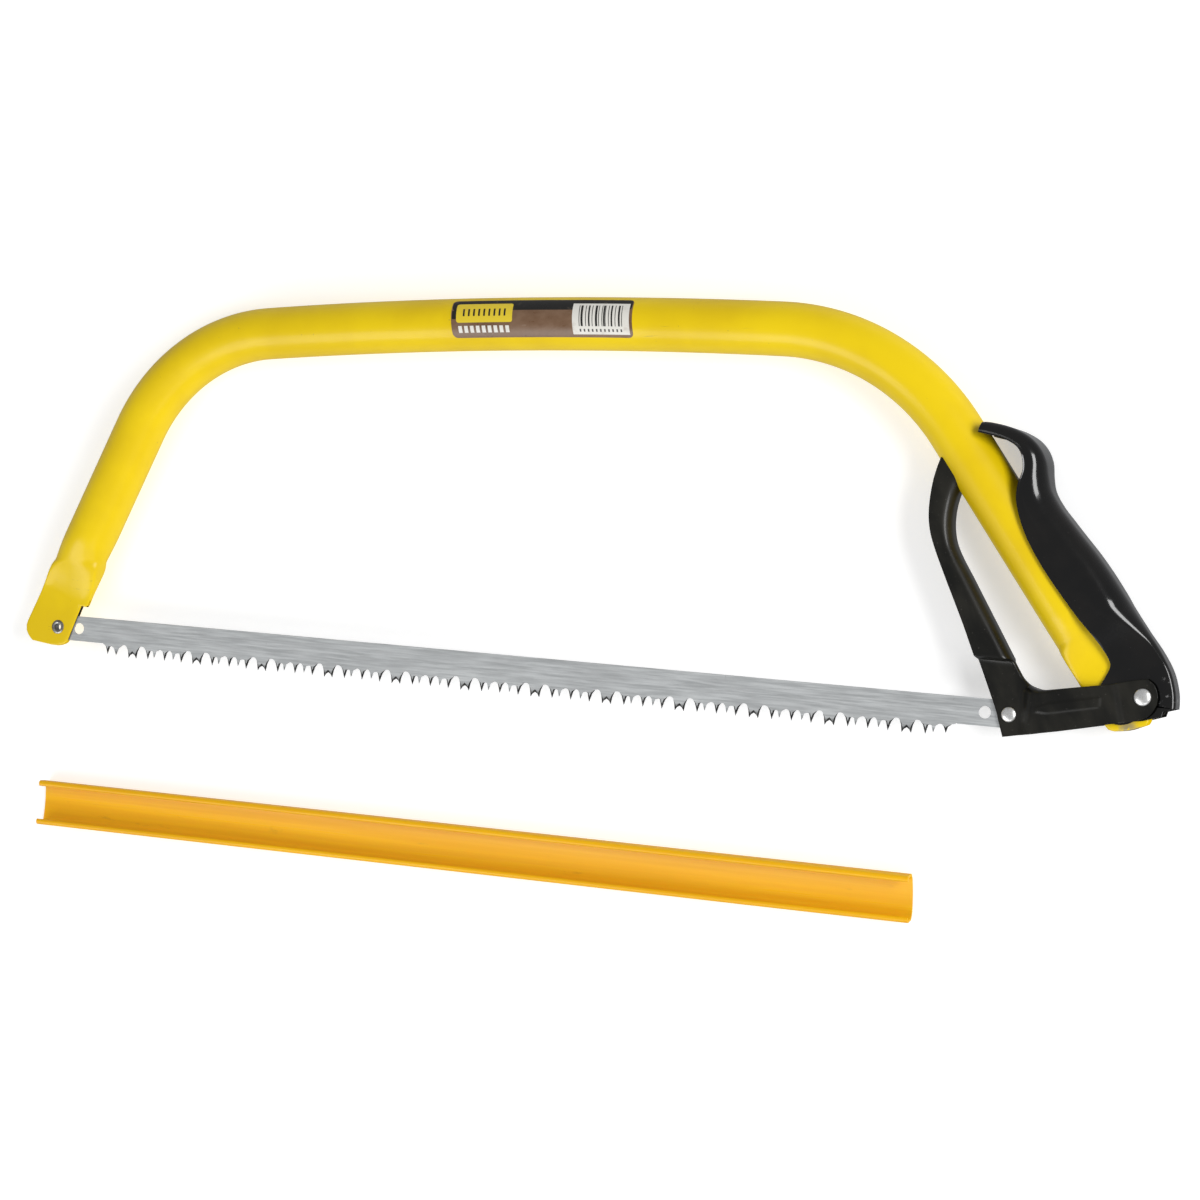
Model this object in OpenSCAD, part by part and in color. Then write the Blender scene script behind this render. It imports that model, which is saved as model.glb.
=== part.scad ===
// Bow saw: bent tube frame, raker-tooth blade, folding tension lever, knuckle guard, loose blade cover.
// The saw lies on its side. X runs along the blade from toe to handle, Y from the blade to the
// top of the bow, Z up. All lengths are in millimetres and all angles in degrees.

/* [Blade] */
// distance between the toe pin and the heel rivet
pin_span = 597; // [560:1:680]
// blade body height above and below the pin line
blade_half = 7.6; // [6:0.1:9]
// tooth tips below the pin line
tooth_tip = 15.1; // [13:0.1:17]
// blade thickness
blade_t = 0.7; // [0.5:0.05:1.2]
// distance from one raker tooth to the next
raker_pitch = 44.34; // [40:0.01:50]
// radius of the blade's end holes and spare holes
blade_hole_r = 3.5; // [3:0.1:4]
// distance from each pin to the spare hole
spare_hole = 13.8; // [12:0.1:18]

/* [Frame tube] */
// outside diameter of the bent tube
tube_d = 30.5; // [28:0.1:33]
// wall of the tube
tube_wall = 1.5; // [1.2:0.1:2]
// slope of the toe leg from the blade
toe_angle = 67.4; // [60:0.1:75]
// toe leg from the pin line to the first bend
toe_leg = 134; // [120:1:150]
// centreline radius of the toe bend
toe_bend_r = 101.5; // [85:0.5:120]
// slope of the crown where it leaves the toe bend
crown_angle = 6; // [3:0.1:9]
// centreline radius of the heel bend
heel_bend_r = 130; // [110:1:150]
// slope of the handle leg from the blade
heel_angle = 53; // [48:0.5:58]
// half thickness of the flattened toe
toe_flat = 2.2; // [2:0.1:3]
// half thickness of the flattened heel
heel_flat = 5.5; // [4.5:0.1:6]

/* [Tension lever] */
// sheet thickness of the lever
lever_t = 1.5; // [1.2:0.1:2]
// clearance between the lever's cheeks and the tube
lever_gap = 0.45; // [0.35:0.05:0.8]
// how far the lever's turning point lies beyond the heel rivet
fulcrum_x = 61; // [58:0.5:64]
// height of the lever's turning point over the pin line
fulcrum_y = 13.5; // [12:0.5:15]
// radius of the lever's fulcrum pin
fulcrum_r = 4; // [3:0.1:5]

/* [Knuckle guard] */
// sheet thickness of the guard
guard_t = 1.5; // [1.2:0.1:2]
// side clearance between the guard's plates and the lever
guard_gap = 0.3; // [0.25:0.05:0.6]
// how far the guard's pivot lies beyond the heel rivet
pivot_x = 73.5; // [71:0.5:75]
// height of the guard's pivot over the pin line
pivot_y = 15.8; // [14:0.1:17]
// shank radius of the rivets
rivet_r = 3; // [2.5:0.1:3.5]
// head radius of the guard pivot rivets
pivot_head_r = 4.6; // [4:0.1:5]
// head radius of the heel rivet
heel_head_r = 4.1; // [3.6:0.1:4.6]

/* [Label] */
// length of the label along the crown
label_len = 112; // [80:1:140]
// thickness of the label
label_t = 0.2; // [0.15:0.05:0.4]

/* [Blade cover] */
// length of the blade cover
cover_len = 557; // [480:1:640]
// width of the blade cover
cover_w = 27; // [25:0.5:30]
// depth of the blade cover
cover_h = 10.5; // [8:0.5:14]
// wall of the blade cover
cover_t = 1.4; // [1:0.1:2]
// distance from the pin line to the middle of the cover
cover_off = 106.6; // [90:0.5:130]
// turn of the loose cover from the line of the blade
cover_turn = 0.45; // [0:0.05:1]

/* [Hidden] */
$fn = 96;
tube_r = tube_d / 2;
// the hollow toe pin is a running fit in the blade's hole, and the heel hole is larger, so that the
// coupled linkage can swing
toe_pin_r = blade_hole_r - 0.1;
toe_pin_bore = 2.1;
heel_hole_r = rivet_r + 2.5;

// half depths of the layers at the heel, from the tube outwards
lever_in = heel_flat + 0.4;
lever_out = lever_in + lever_t;
guard_in = lever_out + guard_gap;
guard_out = guard_in + guard_t;
step_in = guard_out + 0.1;
step_out = step_in + guard_t;
pinch_in = blade_t / 2 + 0.25;
pinch_out = pinch_in + guard_t;

// half depths of the lever around the round tube
grip_in = tube_r + lever_gap;
grip_out = grip_in + lever_t;

fulcrum = [pin_span + fulcrum_x, fulcrum_y];
pivot = [pin_span + pivot_x, pivot_y];
guard_shift = pin_span - 597;

// bent centreline of the tube: toe leg, toe bend, crown, heel bend, handle leg
leg_foot = [-6.4, 0];
toe_dir = [cos(toe_angle), sin(toe_angle)];
bend_a = leg_foot + toe_leg * toe_dir;
mid_a = bend_a + toe_bend_r * [sin(toe_angle), -cos(toe_angle)];
bend_b = mid_a + toe_bend_r * [-sin(crown_angle), cos(crown_angle)];
rise_b = bend_b.y - heel_bend_r * (1 - cos(heel_angle)) - fulcrum.y;
run_b = fulcrum.x - bend_b.x - heel_bend_r * sin(heel_angle);
heel_cot = cos(heel_angle) / sin(heel_angle);
crown_r = (run_b - heel_cot * rise_b) / (sin(crown_angle) + heel_cot * (1 - cos(crown_angle)));
mid_b = bend_b + crown_r * [sin(crown_angle), -cos(crown_angle)];
bend_c = mid_b + [0, crown_r];
mid_c = bend_c - [0, heel_bend_r];

// the row's origin: middle of the part's box, on the surface it lies on
low_y = -cover_off - cover_w / 2 * cos(cover_turn) - cover_len / 2 * sin(cover_turn);
high_y = mid_b.y + crown_r + tube_r;
low_x = -22.93;
high_x = pin_span + 90.4;
mid_x = (low_x + high_x) / 2;
mid_y = (low_y + high_y) / 2;
rest_z = grip_out;

module place() translate([-mid_x, -mid_y, rest_z]) children();

// a point list pushed sideways by d to the right of its direction
function unit(v) = v / norm(v);
function side(p, i) = let (a = p[max(i - 1, 0)], b = p[min(i + 1, len(p) - 1)], u = unit(b - a)) [u.y, -u.x];
function pushed(p, d) = [for (i = [0 : len(p) - 1]) p[i] + d * side(p, i)];
function arc_pts(c, r, a, b, n) = [for (i = [0 : n]) c + r * [cos(a + (b - a) * i / n), sin(a + (b - a) * i / n)]];

// one ring of a flattened tube: half width w, half depth d, squareness e
function ring(w, d, e, n) = [for (i = [0 : n - 1]) let (a = 360 * i / n, c = cos(a), s = sin(a))
    [w * sign(c) * pow(abs(c), 2 / e), d * sign(s) * pow(abs(s), 2 / e)]];

// closed skin through rings: each station is [place, heading, sideways, half width, half depth, squareness]
module skin(st, n = 20) {
    pts = [for (q = st) for (p = ring(q[3], q[4], q[5], n))
        [q[0].x + (q[2] + p.x) * sin(q[1]), q[0].y - (q[2] + p.x) * cos(q[1]), p.y]];
    m = len(st);
    sides = [for (j = [0 : m - 2]) for (i = [0 : n - 1])
        [j * n + i, j * n + (i + 1) % n, (j + 1) * n + (i + 1) % n, (j + 1) * n + i]];
    polyhedron(pts, concat(sides, [[for (i = [n - 1 : -1 : 0]) i], [for (i = [0 : n - 1]) (m - 1) * n + i]]),
        convexity = 6);
}

function blend(a, b, k) = a + (b - a) * k;
function ease(k) = k * k * (3 - 2 * k);

// one ring between the flat end (k = 0) and the round tube (k = 1), which starts a little inside the flat
shy = 0.15;
function squashed(at, heading, k, m0, w0, d0, less) = let (e = ease(k))
    [at, heading, blend(m0, 0, e), blend(w0 - shy, tube_r, e) - less, blend(d0 - shy, tube_r, e) - less,
     blend(4.5, 2, e)];
function round_ring(c, r, a, less) = [c + r * [-sin(a), cos(a)], a, 0, tube_r - less, tube_r - less, 2];

toe_top = 62;
heel_top = 54;
heel_dir = [cos(heel_angle), -sin(heel_angle)];

// the whole tube from its toe flat to its heel flat, less a wall for its bore
function tube_rings(less, more) = concat(
    [for (i = [0 : 7]) squashed(leg_foot + (blend(26.6, toe_top, i / 7) - more) * toe_dir, toe_angle, i / 7,
        1.3, 16.5, toe_flat, less)],
    [for (i = [0 : 8]) round_ring(mid_a, toe_bend_r, blend(toe_angle, crown_angle, i / 8), less)],
    [for (i = [1 : 4]) round_ring(mid_b, crown_r, blend(crown_angle, 0, i / 4), less)],
    [for (i = [1 : 8]) round_ring(mid_c, heel_bend_r, blend(0, -heel_angle, i / 8), less)],
    [for (i = [7 : -1 : 0]) squashed(fulcrum - (blend(22.6, heel_top, i / 7) - more) * heel_dir, -heel_angle,
        i / 7, 0, 15.2, heel_flat, less)]);

// toe flat in its own axes: X across to the front, Y up the leg
toe_line = [[-15.2, 27], [-15.2, -6.5], [-13.4, -9.7], [-6.7, -12.9], [7.5, -9.1], [13.9, -5.4],
            [15.4, -1.5], [14.6, 14], [14.3, 21.2], [17.8, 21.7], [17.8, 27]];
// heel flat in its own axes: origin at the fulcrum, X across to the back, Y up the leg
heel_line = [[-15.2, 23], [-15.2, -9], [-14.6, -11], [-7.2, -15.1], [-1, -17.6], [3.8, -18.2],
             [7.6, -15.8], [12.4, -9.4], [15, -2], [15.2, 4], [15.2, 23]];

module toe_place() translate([leg_foot.x, leg_foot.y, 0]) rotate([0, 0, toe_angle - 90]) children();
module heel_place() translate([fulcrum.x, fulcrum.y, 0]) rotate([0, 0, 90 - heel_angle]) children();

module frame_tube() {
    toe_room = 2 * (toe_flat - tube_wall);
    heel_room = 2 * (heel_flat - tube_wall);
    color([0.98, 0.83, 0.02]) place() difference() {
        union() {
            skin(tube_rings(0, 0));
            toe_place() translate([0, 0, -toe_flat]) linear_extrude(2 * toe_flat) polygon(toe_line);
            heel_place() translate([0, 0, -heel_flat]) linear_extrude(2 * heel_flat) polygon(heel_line);
        }
        skin(tube_rings(tube_wall, 0.1));
        toe_place() translate([-13.7, -20, -toe_room / 2]) cube([40, 46.7, toe_room]);
        heel_place() translate([-15.2 + tube_wall, -30, -heel_room / 2])
            cube([30.4 - 2 * tube_wall, 52.7, heel_room]);
        cylinder(r = toe_pin_r, h = 20, center = true);
        translate([fulcrum.x, fulcrum.y, 0]) cylinder(r = fulcrum_r, h = 40, center = true);
    }
}

// hollow pin through the flattened toe
module toe_pin() {
    color([0.75, 0.76, 0.78]) place() difference() {
        cylinder(r = toe_pin_r, h = 2 * toe_flat + 1.2, center = true);
        cylinder(r = toe_pin_bore, h = 20, center = true);
    }
}

// lower edge of one raker group, from raker to raker: [along, below the pin line]
function saw_group(x) = let (t = -tooth_tip, g = -blade_half - 0.4, q = -blade_half - 2.2) [
    [x - 2.6, t], [x - 1.5, t + 2.2], [x, t + 3.2], [x + 1.5, t + 2.2], [x + 2.6, t], [x + 3.3, t + 4.2],
    [x + 4.6, g + 0.6], [x + 6.2, g], [x + 8, g + 0.3], [x + 9.3, g - 1.6], [x + 10.7, t + 0.2],
    [x + 12, q - 0.8], [x + 13.1, q], [x + 14.2, q - 0.6], [x + 15.6, t + 0.5], [x + 16.8, q - 0.4],
    [x + 18.9, q + 1.2], [x + 20.9, q - 0.4], [x + 22.2, t + 0.3], [x + 23.4, q - 0.4], [x + 25.5, q + 1.2],
    [x + 27.6, q - 0.4], [x + 28.8, t + 0.5], [x + 30.2, q - 0.6], [x + 31.3, q], [x + 32.4, q - 0.8],
    [x + 33.7, t + 0.2], [x + 35.1, g - 1.6], [x + 36.4, g + 0.3], [x + 38.2, g], [x + 39.8, g + 0.6],
    [x + 41, t + 4.2]];

first_raker = 52.3;
rakers = floor((pin_span - 2 * first_raker) / raker_pitch) + 1;
module saw_blade() {
    teeth = [for (k = [0 : rakers - 1]) for (p = saw_group(first_raker + k * raker_pitch))
        if (p.x < pin_span - 31) p];
    b = blade_half;
    outline = concat([[-6.6, b - 1.5], [-6.6, -b + 1.5], [-5.2, -b], [31.5, -b], [33.2, -b - 2], [34.6, -tooth_tip + 0.6],
        [36, -b - 2], [38, -b - 1.6], [40, -b - 2.6], [41.6, -tooth_tip + 0.2], [43, -b - 2.4], [45, -b - 0.6],
        [47, -b - 0.4], [48.6, -b - 3]], teeth,
        [[pin_span - 30, -b - 1], [pin_span - 28.6, -b], [pin_span + 5.2, -b], [pin_span + 6.6, -b + 1.5],
         [pin_span + 6.6, b - 1.5], [pin_span + 5.2, b], [-5.2, b]]);
    color([0.72, 0.74, 0.76]) place() difference() {
        translate([0, 0, -blade_t / 2]) linear_extrude(blade_t) polygon(outline);
        cylinder(r = blade_hole_r, h = 9, center = true);
        translate([spare_hole, 0, 0]) cylinder(r = blade_hole_r, h = 9, center = true);
        translate([pin_span - spare_hole, 0, 0]) cylinder(r = blade_hole_r, h = 9, center = true);
        translate([pin_span, 0, 0]) cylinder(r = heel_hole_r, h = 9, center = true);
    }
}

// the hook's tip moves out with the tube that it rests over
hook_out = (tube_r - 15.25) * [0.83, 0.56];
hook_end = 154.8 + hook_out.y;
// outer line of the lever, from the hook's tip over the nose and down the back to the heel
back_line = [[576, 156.3] + hook_out, [585.2, 155] + hook_out, [592.5, 152.8], [599.5, 149], [604.6, 143.8], [607.8, 137.5],
    [609.3, 130], [611.4, 122.5], [616.8, 114], [629.2, 100], [638.6, 90], [647, 80], [654.6, 70], [661.9, 60],
    [669.6, 50], [677.6, 40], [683.6, 30], [686.6, 20], [687.4, 13.3], [687, 10.8]];
// the heel's foot and its round end about the fulcrum
foot_line = concat([[680.8, 8.6], [680.3, 6.2], [671, 3.2]],
    arc_pts([658, 13.5], 13.5, -55, -180, 10), [[648, 22]]);
// the front edge, up to the hook's inner curve and back to its tip
front_line = [[651.4, 31], [646.6, 40], [640.1, 48], [632.7, 56], [621.6, 68.5], [613.3, 79], [604.7, 91.8],
    [598.7, 103.7], [595.2, 114.6], [594.4, 121], [596.3, 125.5], [597.3, 131], [596.8, 136.8], [595, 141],
    [592, 144.4], [587.1, 146.8] + hook_out,
    [580.6, 147.9] + hook_out, [584.4, 140.6] + hook_out, [582, 141.9] + hook_out, [571, 149] + hook_out,
    [573.4, 154.8] + hook_out];

module lever_area(p) translate([guard_shift, 0, -40]) linear_extrude(80) polygon(p);

// depth of the lever seen across its length: narrow at the heel, wide over the tube
module lever_depth(narrow, wide) {
    p = [[-60, narrow], [14, narrow], [20, blend(narrow, wide, 0.1)], [42, blend(narrow, wide, 0.9)],
         [48, wide], [200, wide]];
    m = [for (i = [len(p) - 1 : -1 : 0]) [p[i].x, -p[i].y]];
    heel_place() rotate([0, 90, 0]) rotate([0, 0, 90]) translate([0, 0, -80]) linear_extrude(200)
        polygon(concat(p, m));
}

// rounded back of the lever seen along its length
module lever_back(reach, half, r) {
    heel_place() rotate([-90, 0, 0]) translate([0, 0, -60]) linear_extrude(170) union() {
        translate([-80, -half]) square([80 + reach - r, 2 * half]);
        translate([-80, -half + r]) square([80 + reach, 2 * (half - r)]);
        translate([reach - r, half - r]) circle(r = r);
        translate([reach - r, -half + r]) circle(r = r);
    }
}

// the nose above the straight grip keeps its full depth
module lever_nose(half) {
    heel_place() translate([-80, 108, -half]) cube([160, 120, 2 * half]);
}

module lever_solid(p, narrow, wide, reach, r) {
    intersection() {
        lever_area(p);
        lever_depth(narrow, wide);
        union() { lever_back(reach, wide, r); lever_nose(wide); }
    }
}

module tension_lever() {
    inner_back = pushed(back_line, lever_t);
    color([0.03, 0.03, 0.035]) place() difference() {
        lever_solid(concat(back_line, foot_line, front_line), lever_out, grip_out, 31.9, 12);
        lever_solid(concat([[555, hook_end]], inner_back, [[685.4, 0], [640, -20], [560, 0]]),
            lever_in, grip_in, 31.9 - lever_t, 12 - lever_t);
        translate([fulcrum.x, fulcrum.y, 0]) cylinder(r = fulcrum_r + 0.06, h = 60, center = true);
        translate([pivot.x, pivot.y, 0]) cylinder(r = rivet_r, h = 60, center = true);
    }
}

// pin held in the flattened heel of the tube, under the guard's plates
module lever_fulcrum_pin() {
    color([0.75, 0.76, 0.78]) place() translate([fulcrum.x, fulcrum.y, 0])
        cylinder(r = fulcrum_r, h = 2 * lever_out + 0.1, center = true);
}

// finger side of the guard: upper curve, straight, lower curve
bow_c = [597.4, 104.2];
bow_r = 40;
crook_c = [614.7, 29.5];
crook_r = 14.7;
run_a = bow_c + bow_r * [cos(212.3), sin(212.3)];
run_b_end = crook_c + crook_r * [cos(212.3), sin(212.3)];
guard_line = concat([[549.6, 136], [546.8, 126.4], [545.2, 116.6], [545.2, 106.8], [546.4, 98.4],
    [549.2, 88.8], [556.8, 72.3], [569.4, 46.6], [580.6, 22], [589.4, 2.3], [594.4, -12.3], [622, -6.9],
    [646, -1.7], [669.6, 3.4]], arc_pts([666.2, 15.4], 12.4, -65, 55, 10), [[653, 21.3], [617.2, 15]],
    arc_pts(crook_c, crook_r, 279.5, 212.3, 8), arc_pts(bow_c, bow_r, 212.3, 145, 12));

// half section of the guard's channel: web at x = 0, plates towards +x
module channel(reach) {
    r = 7;
    difference() {
        union() {
            translate([0, -guard_out + r]) square([reach, 2 * (guard_out - r)]);
            translate([r, -guard_out]) square([reach - r, 2 * guard_out]);
            for (s = [-1, 1]) translate([r, s * (guard_out - r)]) circle(r = r);
        }
        translate([guard_t, -guard_out + r]) square([reach, 2 * (guard_out - r)]);
        translate([r, -guard_in]) square([reach, 2 * guard_in]);
        for (s = [-1, 1]) translate([r, s * (guard_out - r)]) circle(r = r - guard_t);
    }
}

// depth profile of the lower plates along X: pinched on the blade, then out past tube and lever
module plate_depth(s) {
    p = [[560, pinch_in], [602, pinch_in], [612, guard_in], [655.5, guard_in], [660, step_in], [700, step_in]];
    q = [[700, step_out], [660, step_out], [655.5, guard_out], [612, guard_out], [602, pinch_out], [560, pinch_out]];
    translate([0, 60, 0]) rotate([90, 0, 0]) linear_extrude(120)
        polygon([for (v = concat(p, q)) [v.x, s * v.y]]);
}

pinch_top = 28.5;
module guard_body() {
    intersection() {
        linear_extrude(40, center = true) polygon(guard_line);
        union() {
            translate([bow_c.x, bow_c.y, 0]) rotate([0, 0, 140]) rotate_extrude(angle = 212.3 - 140)
                translate([bow_r, 0]) channel(30);
            translate([run_b_end.x, run_b_end.y, 0]) rotate([0, 0, 212.3]) rotate([90, 0, 0])
                translate([0, 0, 7]) linear_extrude(norm(run_b_end - run_a) - 6.95) channel(40);
            // short end of the arm and the curved web down to the tube
            intersection() {
                linear_extrude(2 * guard_out, center = true) difference() {
                    polygon(guard_line);
                    polygon(concat(pushed([run_a, run_b_end], -guard_t), arc_pts(crook_c, crook_r + guard_t, 214, 279.5, 10),
                        [[623, 14], [700, 14], [700, -40], [540, -40], [540, 90]]));
                }
                translate([590, 0, -20]) cube([34, 40, 40]);
            }
            // wall that closes the arm over the pinched corner
            for (s = [-1, 1]) translate([560, pinch_top, s > 0 ? pinch_in : -guard_out])
                cube([52, guard_t, guard_out - pinch_in]);
            for (s = [-1, 1]) intersection() {
                plate_depth(s);
                translate([560, -30, -20]) cube([140, pinch_top + 30.05, 40]);
            }
            for (s = [-1, 1]) translate([597, pinch_top, s > 0 ? guard_in : -guard_out])
                cube([20, 12, guard_t]);
        }
    }
}

module knuckle_guard() {
    color([0.03, 0.03, 0.035]) place() translate([guard_shift, 0, 0]) difference() {
        guard_body();
        translate([-guard_shift, 0, 0]) heel_place() rotate([-90, 0, 0]) cylinder(r = tube_r + 0.4, h = 200);
        translate([597, 0, 0]) cylinder(r = rivet_r, h = 60, center = true);
        translate([pivot.x - guard_shift, pivot.y, 0]) cylinder(r = rivet_r + 0.06, h = 60, center = true);
    }
}

// low domed rivet head on a plate at height z
module dome(r, h) {
    k = (r * r + h * h) / (2 * h);
    intersection() {
        translate([0, 0, h - k]) sphere(r = k);
        translate([0, 0, 0]) cylinder(r = r, h = h + 1);
    }
}

module heel_rivet() {
    color([0.8, 0.81, 0.83]) place() translate([pin_span, 0, 0]) {
        cylinder(r = rivet_r, h = 2 * pinch_out, center = true);
        for (s = [0, 1]) mirror([0, 0, s]) translate([0, 0, pinch_out - 0.01]) dome(heel_head_r, 1.8);
    }
}

module pivot_rivet() {
    translate([pivot.x, pivot.y, 0]) {
        translate([0, 0, lever_in]) cylinder(r = rivet_r, h = step_out + 0.1 - lever_in);
        translate([0, 0, guard_in - 0.2]) cylinder(r = pivot_head_r - 0.2, h = step_in - 0.1 - guard_in + 0.2);
        translate([0, 0, step_out + 0.1]) dome(pivot_head_r, 2);
    }
}
module pivot_rivet_near() color([0.8, 0.81, 0.83]) place() pivot_rivet();
module pivot_rivet_far() color([0.8, 0.81, 0.83]) place() mirror([0, 0, 1]) pivot_rivet();

// label wrapped over the near side of the crown
label_mid = 0.443;
module frame_label() {
    span = label_len / crown_r * 180 / PI;
    at = 90 + crown_angle * label_mid;
    color([0.33, 0.22, 0.15]) place() translate([mid_b.x, mid_b.y, 0]) rotate([0, 0, at - span / 2])
        rotate_extrude(angle = span) translate([crown_r, 0]) polygon(concat(
            arc_pts([0, 0], tube_r, 31, 117, 24), arc_pts([0, 0], tube_r + label_t, 117, 31, 24)));
}

// blade cover: C channel lying on its curved back, open upwards
module blade_cover() {
    w = cover_w / 2;
    t = cover_t;
    h = cover_h;
    out = concat([[w - 3.4, h - 0.8], [w - 2.6, h - 0.1], [w - 1.4, h], [w - 0.4, h - 0.8], [w, h - 2.2], [w, 4.6],
        [w - 0.7, 2.8], [w - 2.4, 1.4]], arc_pts([0, 60], 60, -80, -100, 12),
        [[-w + 2.4, 1.4], [-w + 0.7, 2.8], [-w, 4.6], [-w, h - 2.2], [-w + 0.4, h - 0.8], [-w + 1.4, h],
         [-w + 2.6, h - 0.1], [-w + 3.4, h - 0.8]]);
    inn = concat([[-w + 3.4, h - 2.1], [-w + 2.4, h - 1.5], [-w + t, h - 2.6], [-w + t, 4.9], [-w + t + 0.5, 3.8],
        [-w + 3.4, 2.7]], arc_pts([0, 60], 60 - t, -100.5, -79.5, 12),
        [[w - 3.4, 2.7], [w - t - 0.5, 3.8], [w - t, 4.9], [w - t, h - 2.6], [w - 2.4, h - 1.5], [w - 3.4, h - 2.1]]);
    color([0.98, 0.62, 0.03]) place() translate([cover_len / 2 - 10, -cover_off, -rest_z])
        rotate([0, 0, cover_turn]) rotate([90, 0, 90]) translate([0, 0, -cover_len / 2])
        linear_extrude(cover_len) polygon(concat(out, inn));
}

frame_tube();
toe_pin();
saw_blade();
tension_lever();
lever_fulcrum_pin();
knuckle_guard();
heel_rivet();
pivot_rivet_near();
pivot_rivet_far();
frame_label();
blade_cover();
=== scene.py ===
from math import copysign, cos, pi, radians, sin, sqrt, tan

import bmesh
import bpy
from mathutils import Matrix, Vector


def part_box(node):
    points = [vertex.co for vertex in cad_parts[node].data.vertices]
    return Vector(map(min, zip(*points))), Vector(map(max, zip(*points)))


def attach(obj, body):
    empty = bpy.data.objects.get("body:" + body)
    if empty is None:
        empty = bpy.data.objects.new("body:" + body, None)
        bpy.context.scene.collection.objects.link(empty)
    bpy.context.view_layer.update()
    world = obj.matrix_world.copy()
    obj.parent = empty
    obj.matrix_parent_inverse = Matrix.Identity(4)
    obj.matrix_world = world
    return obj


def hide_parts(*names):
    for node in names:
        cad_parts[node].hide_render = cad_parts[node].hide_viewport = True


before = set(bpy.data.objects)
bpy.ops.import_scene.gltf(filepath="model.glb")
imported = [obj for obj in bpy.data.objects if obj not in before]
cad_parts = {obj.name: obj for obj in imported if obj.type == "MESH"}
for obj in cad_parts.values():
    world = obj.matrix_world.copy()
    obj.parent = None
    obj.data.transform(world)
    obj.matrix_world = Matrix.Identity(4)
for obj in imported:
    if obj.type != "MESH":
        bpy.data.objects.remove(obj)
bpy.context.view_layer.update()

# ---------------------------------------------------------------- camera
# The saw lies on its side on a pale table and is seen from above, a little from the handle's end.
# Sizes are in millimetres from the middle of the toe pin, on the saw's flat middle plane.
MM = 0.001
toe_low, toe_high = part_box("toe_pin")
toe_middle = (toe_low + toe_high) / 2


def at(x, y, z=0.0):
    """A point of the saw, in metres in the row frame."""
    return toe_middle + Vector((x, y, z)) * MM


camera_turn = radians(22)
camera_roll = radians(4.707)
across = Vector((cos(camera_turn), 0, -sin(camera_turn)))
upright = Vector((0, 1, 0))
cam_right = cos(camera_roll) * across + sin(camera_roll) * upright
cam_up = cos(camera_roll) * upright - sin(camera_roll) * across
cam_back = cam_right.cross(cam_up)
camera_data = bpy.data.cameras.new("camera")
camera_data.sensor_width = 36
camera_data.lens = 93.28
camera = bpy.data.objects.new("camera", camera_data)
bpy.context.scene.collection.objects.link(camera)
camera_place = at(1016.75, 43.5, 1641.0)
turned_axes = Matrix((cam_right, cam_up, cam_back)).transposed().to_4x4()
camera.matrix_world = Matrix.Translation(camera_place) @ turned_axes
bpy.context.scene.camera = camera

# ---------------------------------------------------------------- table and light
# A plain pale table top that glows a little, in a dim room. A tall soft box stands behind the
# handle and two broad ones stand in front, one of them towards the toe.


def linked(name, data):
    """A new object of the scene with this data."""
    piece = bpy.data.objects.new(name, data)
    bpy.context.scene.collection.objects.link(piece)
    return piece


def node_setup(name):
    """A new node material: the material, its shader and the piece's own coordinates."""
    mat = bpy.data.materials.new(name)
    mat.use_nodes = True
    tree = mat.node_tree
    shader = tree.nodes["Principled BSDF"]
    coords = tree.nodes.new("ShaderNodeTexCoord").outputs["Object"]
    return mat, shader, coords


def painted(piece, mat):
    """Gives the piece this material alone."""
    piece.data.materials.clear()
    piece.data.materials.append(mat)


def added(socket, kind):
    """A new node of this kind beside the socket's own."""
    return socket.id_data.nodes.new(kind)


def join(output, socket):
    """Links an output to an input."""
    output.id_data.links.new(output, socket)


def set_shader(shader, values):
    """Links or sets each named input of the shader."""
    for name, value in values.items():
        if isinstance(value, bpy.types.NodeSocket):
            join(value, shader.inputs[name])
        else:
            shader.inputs[name].default_value = value


def axis_of(coords, axis):
    """One coordinate of the piece, in metres."""
    split = added(coords, "ShaderNodeSeparateXYZ")
    join(coords, split.inputs["Vector"])
    return split.outputs[axis]


def stretched(coords, scale, turn):
    """The coordinates stretched along the axes, after a turn about Z in degrees."""
    mapping = added(coords, "ShaderNodeMapping")
    mapping.vector_type = "TEXTURE"
    mapping.inputs["Rotation"].default_value = (0, 0, radians(turn))
    mapping.inputs["Scale"].default_value = [1 / s for s in scale]
    join(coords, mapping.inputs["Vector"])
    return mapping.outputs["Vector"]


def grain(coords, scale, detail=4.0, rough=0.55, turn=0.0):
    """A noise from 0 to 1. scale is in cells for each metre, alike or along each axis after a turn."""
    if isinstance(scale, tuple):
        coords, scale = stretched(coords, scale, turn), 1.0
    noise = added(coords, "ShaderNodeTexNoise")
    noise.inputs["Scale"].default_value = scale
    noise.inputs["Detail"].default_value = detail
    noise.inputs["Roughness"].default_value = rough
    join(coords, noise.inputs["Vector"])
    return noise.outputs["Fac"]


def stepped(value, low, high, out_low=0.0, out_high=1.0):
    """value from low to high, mapped smoothly to out_low to out_high."""
    ranged = added(value, "ShaderNodeMapRange")
    ranged.interpolation_type = "SMOOTHSTEP"
    ends = {"From Min": low, "From Max": high, "To Min": out_low, "To Max": out_high}
    for socket, number in ends.items():
        ranged.inputs[socket].default_value = number
    join(value, ranged.inputs["Value"])
    return ranged.outputs["Result"]


def combined(a, b, how="MULTIPLY"):
    """One number from two, by a Math node. b may be a plain number."""
    maths = added(a, "ShaderNodeMath")
    maths.operation = how
    maths.use_clamp = True
    join(a, maths.inputs[0])
    if isinstance(b, (int, float)):
        maths.inputs[1].default_value = b
    else:
        join(b, maths.inputs[1])
    return maths.outputs["Value"]


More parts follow.
